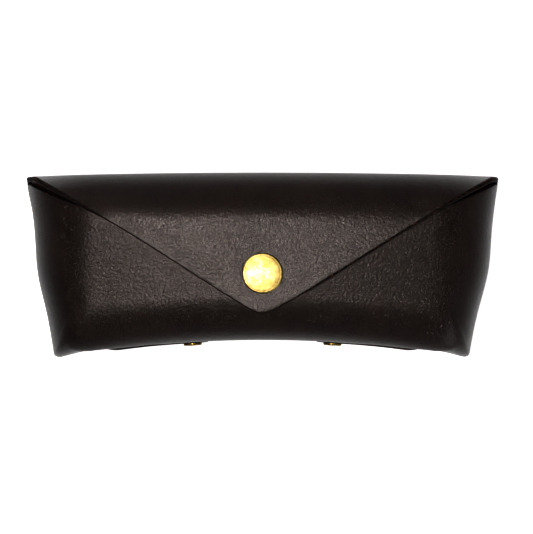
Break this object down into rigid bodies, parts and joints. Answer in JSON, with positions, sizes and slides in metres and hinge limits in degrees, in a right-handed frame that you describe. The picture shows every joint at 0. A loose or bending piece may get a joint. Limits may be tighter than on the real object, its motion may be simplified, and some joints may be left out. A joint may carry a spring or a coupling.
{
  "type": "soft glasses case",
  "caption": "Folded leather glasses case with a pointed flap that snaps shut over the front, rounded end walls and riveted bottom tabs.",
  "frame": {"origin": "on the supporting surface, under the middle of the closed case's outer box, with the case lying on its back panel", "axes": "+X along the case's width, +Y towards the folded top edge, +Z out of the front with the snap"},
  "size_m": [0.1748, 0.0682, 0.0426],
  "materials": {
    "leather": "smooth satin vegetable-tanned leather, very dark brown, suede flesh side",
    "brass": "lightly aged satin brass",
    "spring_steel": "plain wire"
  },
  "bodies": {
    "root": {"back_panel": "leather", "bottom_panel": "leather", "front_panel": "leather", "left_end_wall": "leather", "right_end_wall": "leather", "left_rivet_tab": "leather", "right_rivet_tab": "leather", "snap_stud": "brass", "snap_post": "brass", "left_rivet_cap": "brass", "right_rivet_cap": "brass", "left_rivet_post": "brass", "right_rivet_post": "brass"},
    "top_fold": {"top_strip": "leather"},
    "flap": {"flap": "leather", "snap_cap": "brass", "snap_socket": "brass", "snap_spring": "spring_steel"}
  },
  "joints": [
    {"name": "top_fold_hinge", "type": "hinge", "parent": "root", "child": "top_fold", "pos_m": [0, 0.0332, 0.001], "axis": [-1, 0, 0], "range_deg": [0, 90], "deforming": ["snap_spring"]},
    {"name": "flap_bend", "type": "hinge", "parent": "top_fold", "child": "flap", "pos_m": [0, 0.02971, 0.03621], "axis": [-1, 0, 0], "range_deg": [0, 85], "deforming": ["snap_spring"]}
  ]
}
